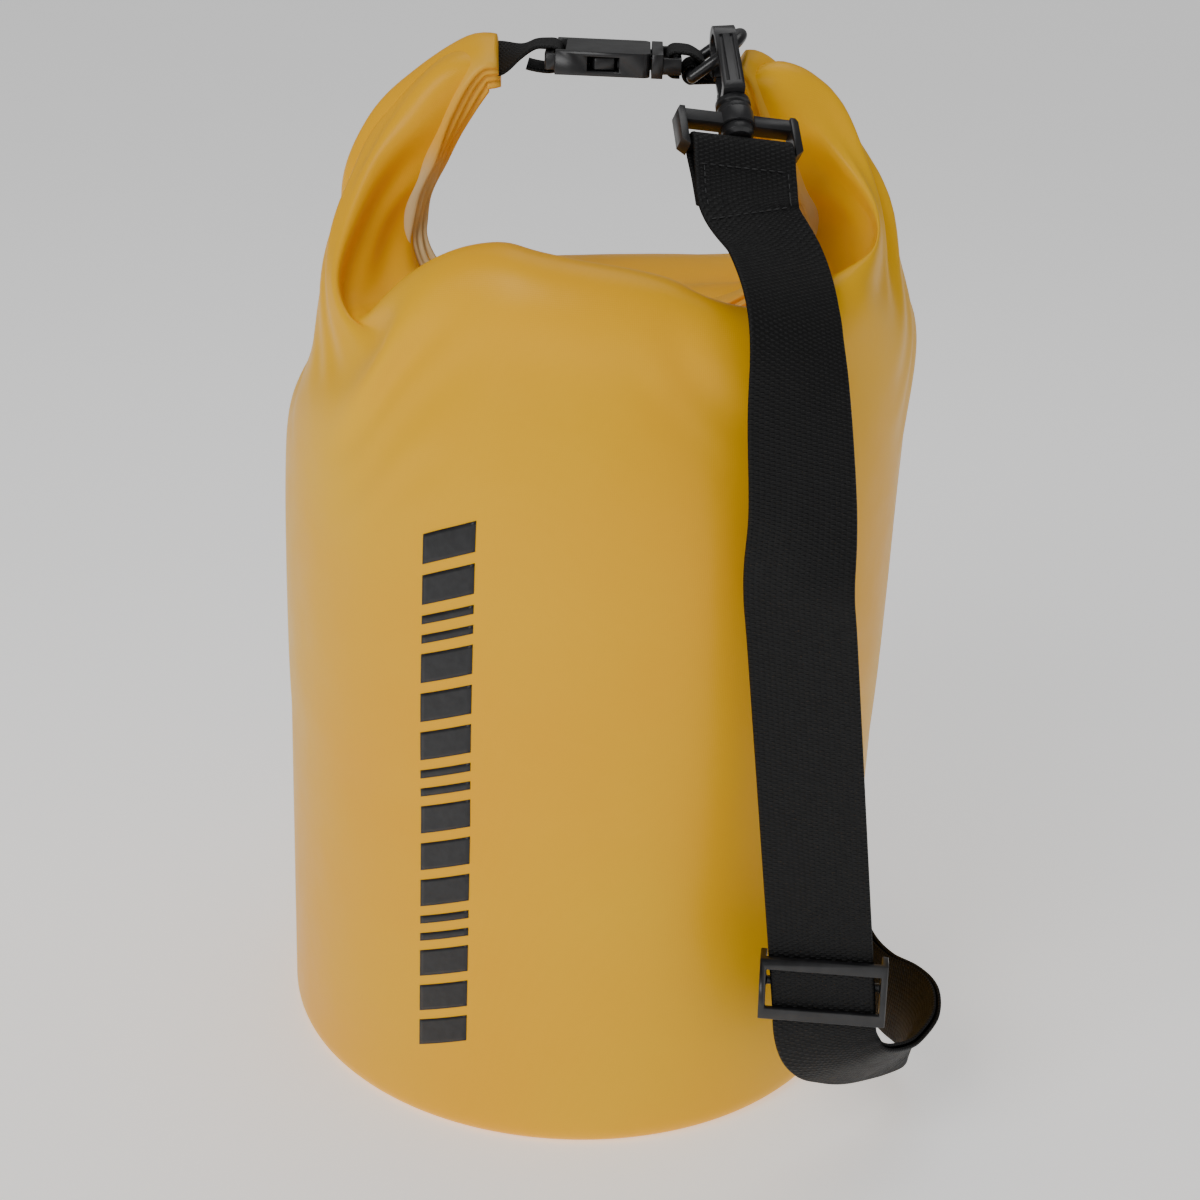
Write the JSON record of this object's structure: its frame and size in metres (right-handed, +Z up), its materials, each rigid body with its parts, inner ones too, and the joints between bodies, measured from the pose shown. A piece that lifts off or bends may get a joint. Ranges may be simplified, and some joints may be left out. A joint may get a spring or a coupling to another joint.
{
  "type": "dry bag",
  "caption": "Roll-top waterproof bag with rolled mouth clipped into a carrying loop by a side-release buckle, D-rings and an adjustable shoulder strap on swivel snap hooks.",
  "frame": {"origin": "centre of the base, on the ground it stands on", "axes": "+Z up along the bag, -Y towards the printed front, +X towards the side with the upper D-ring"},
  "size_m": [0.2788, 0.2913, 0.4314],
  "materials": {
    "tarpaulin": "satin coated",
    "webbing": "woven matt",
    "moulding": "satin",
    "stiffener": "matt"
  },
  "bodies": {
    "root": {"body_wall": "tarpaulin", "body_shoulder": "tarpaulin", "base_panel": "tarpaulin", "side_seam_tape": "tarpaulin", "rolled_mouth": "tarpaulin", "hem_stiffener_outer": "stiffener", "hem_stiffener_inner": "stiffener", "closure_webbing_left": "webbing", "closure_webbing_right": "webbing", "buckle_plug": "moulding", "d_ring_keeper": "webbing", "top_hook_frame": "moulding", "shoulder_strap": "webbing", "strap_return": "webbing", "lower_patch": "tarpaulin", "lower_web_loop": "webbing", "lower_hook_frame": "moulding"},
    "socket": {"buckle_socket": "moulding"},
    "arm_front": {"latch_arm_front": "moulding"},
    "arm_rear": {"latch_arm_rear": "moulding"},
    "upper_ring": {"top_d_ring": "moulding"},
    "upper_hook": {"top_hook_body": "moulding"},
    "upper_gate": {"top_hook_gate": "moulding"},
    "slider": {"strap_slider": "moulding"},
    "lower_ring": {"lower_d_ring": "moulding"},
    "lower_hook": {"lower_hook_body": "moulding"},
    "lower_gate": {"lower_hook_gate": "moulding"}
  },
  "joints": [
    {"name": "buckle_release", "type": "slide", "parent": "root", "child": "socket", "axis": [-1, 0, 0], "range_m": [0, 0.016], "deforming": ["closure_webbing_left", "latch_arm_front", "latch_arm_rear"]},
    {"name": "latch_arm_front_squeeze", "type": "hinge", "parent": "root", "child": "arm_front", "pos_m": [0.0174, -0.0097, 0.4155], "axis": [0, 0, -1], "range_deg": [0, 9], "stiffness_Nm_per_rad": 0.2},
    {"name": "latch_arm_rear_squeeze", "type": "hinge", "parent": "root", "child": "arm_rear", "pos_m": [0.0174, 0.0097, 0.4155], "axis": [0, 0, 1], "range_deg": [0, 9], "stiffness_Nm_per_rad": 0.2},
    {"name": "upper_d_ring_swing", "type": "hinge", "parent": "root", "child": "upper_ring", "pos_m": [0.032, 0, 0.412], "axis": [0, -1, 0], "range_deg": [-5, 0.5]},
    {"name": "upper_hook_swivel", "type": "hinge", "parent": "root", "child": "upper_hook", "pos_m": [0.04829, -0.03878, 0.40008], "axis": [0.1423, -0.7601, -0.6341], "range_deg": [-6, 6]},
    {"name": "upper_hook_gate_press", "type": "hinge", "parent": "upper_hook", "child": "upper_gate", "pos_m": [0.04585, -0.02206, 0.4044], "axis": [0.9895, 0.1264, 0.0705], "range_deg": [0, 22], "stiffness_Nm_per_rad": 0.05},
    {"name": "strap_slider_slide", "type": "slide", "parent": "root", "child": "slider", "axis": [-0.13, 0.05, 0.9902], "range_m": [0, 0.11], "deforming": ["strap_return"]},
    {"name": "lower_d_ring_swing", "type": "hinge", "parent": "root", "child": "lower_ring", "pos_m": [-0.008, 0.1309, 0.06], "axis": [0, 0, 1], "range_deg": [-3, 6]},
    {"name": "lower_hook_swivel", "type": "hinge", "parent": "root", "child": "lower_hook", "pos_m": [0.04548, 0.12959, 0.06], "axis": [0.96, -0.28, 0], "range_deg": [-6, 6]},
    {"name": "lower_hook_gate_press", "type": "hinge", "parent": "lower_hook", "child": "lower_gate", "pos_m": [0.03238, 0.14112, 0.06], "axis": [0, 0, 1], "range_deg": [0, 22], "stiffness_Nm_per_rad": 0.05}
  ]
}
